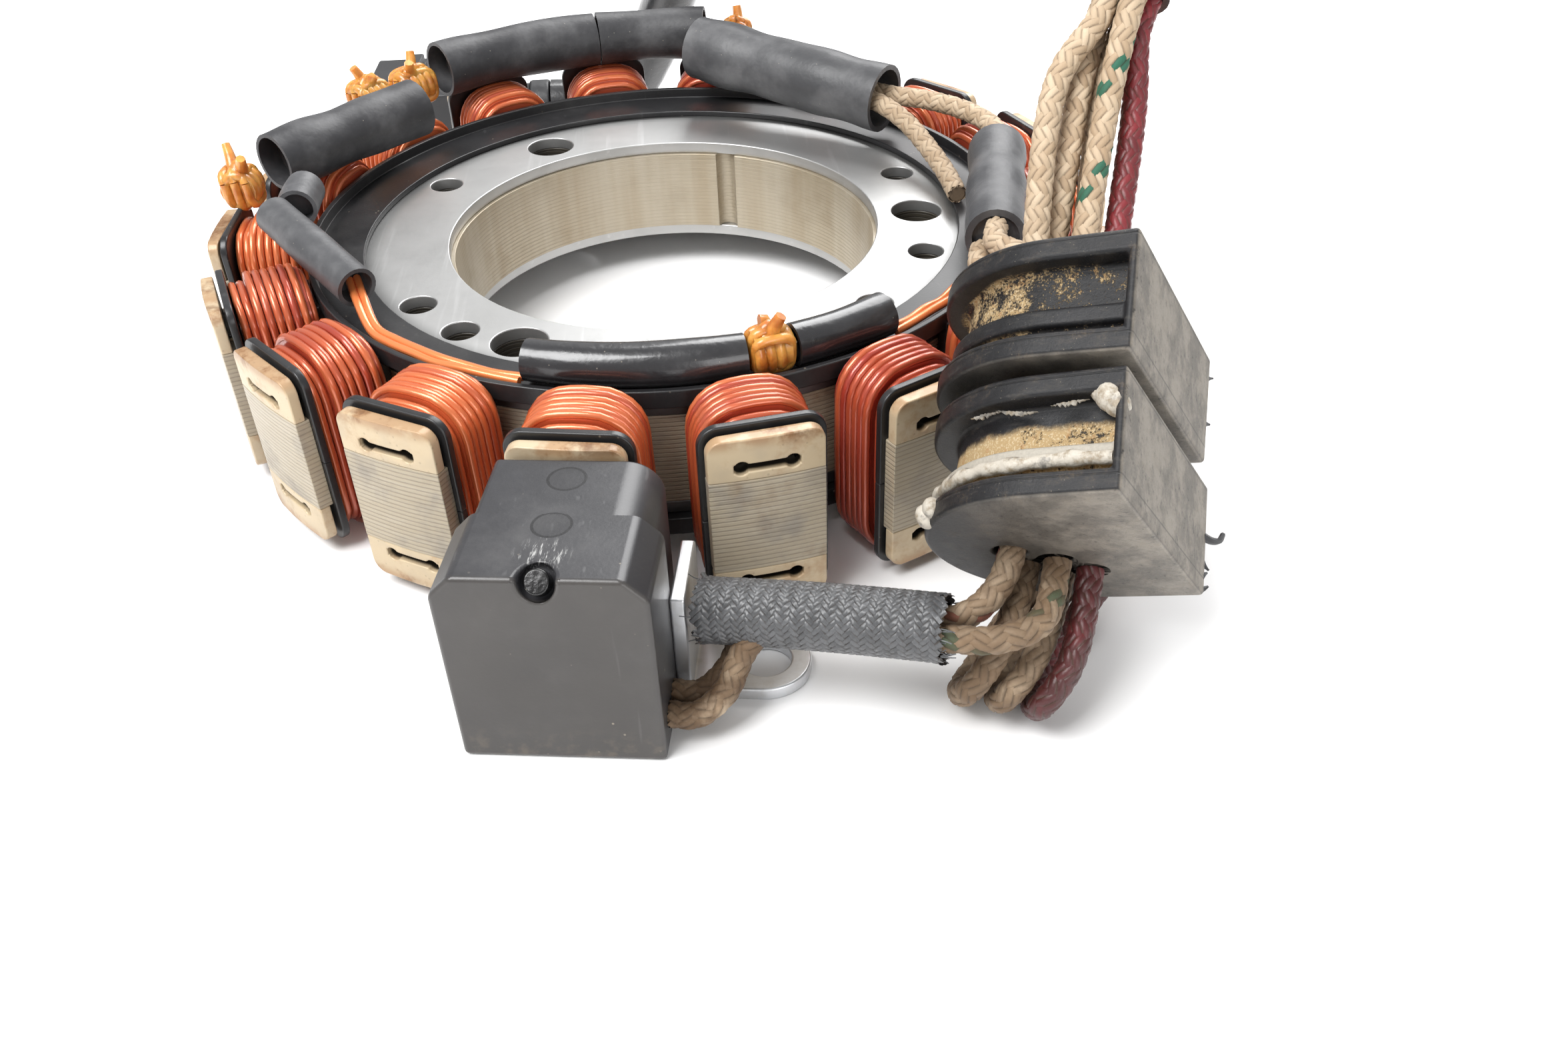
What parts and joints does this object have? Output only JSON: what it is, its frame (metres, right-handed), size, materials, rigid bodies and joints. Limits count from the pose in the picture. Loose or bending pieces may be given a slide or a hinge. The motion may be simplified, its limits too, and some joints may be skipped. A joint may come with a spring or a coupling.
{
  "type": "wound alternator stator with pickup and harness",
  "caption": "Wound flywheel alternator stator on a bored lamination stack, with its pulse pickup, rubber case grommets and braided lead harness.",
  "frame": {"origin": "on the bore axis at the underside of the lamination stack", "axes": "+Z along the bore axis towards the jointed side of the winding, -Y towards the pickup"},
  "size_m": [0.1194, 0.1799, 0.0757],
  "materials": {
    "laminations": "varnished sheet edges",
    "plate": "bright sheet",
    "insulator": "matt black",
    "winding": "glossy orange-red enamel",
    "sleeving": "varnished woven sleeving",
    "lacing": "varnished cord",
    "braid_lead": "cream glass braid",
    "red_braid": "dark red glass braid",
    "housing": "matt black moulding",
    "pin": "turned steel",
    "zinc_sheet": "zinc plated",
    "rubber": "worn black rubber"
  },
  "bodies": {
    "root": {"core_stack": "laminations", "upper_end_plate": "plate", "lower_end_plate": "plate", "upper_insulator": "insulator", "lower_insulator": "insulator", "coil_01": "winding", "coil_02": "winding", "coil_03": "winding", "coil_04": "winding", "coil_05": "winding", "coil_06": "winding", "coil_07": "winding", "coil_08": "winding", "coil_09": "winding", "coil_10": "winding", "coil_11": "winding", "coil_12": "winding", "coil_13": "winding", "coil_14": "winding", "coil_15": "winding", "coil_16": "winding", "coil_17": "winding", "coil_18": "winding", "left_crossover": "winding", "right_crossover": "winding", "front_sleeve": "sleeving", "front_right_sleeve": "sleeving", "left_sleeve": "sleeving", "left_joint_sleeve": "sleeving", "left_back_sleeve": "sleeving", "back_left_sleeve": "sleeving", "back_sleeve": "sleeving", "back_right_sleeve": "sleeving", "lead_exit_sleeve": "sleeving", "harness_sheath": "sleeving", "braided_sleeve": "sleeving", "front_tie": "lacing", "left_tie": "lacing", "left_back_tie": "lacing", "back_left_tie": "lacing", "back_tie": "lacing", "inner_phase_lead": "braid_lead", "outer_phase_lead": "braid_lead", "green_tracer_lead": "braid_lead", "red_tracer_lead": "braid_lead", "first_cream_lead": "braid_lead", "second_cream_lead": "braid_lead", "red_lead": "red_braid", "pickup_housing": "housing", "connector_shell": "housing", "connector_lock": "housing", "pickup_pole_pin": "pin", "pickup_bracket": "zinc_sheet", "lower_grommet": "rubber", "upper_grommet": "rubber", "connector_seal": "rubber"}
  },
  "joints": []
}
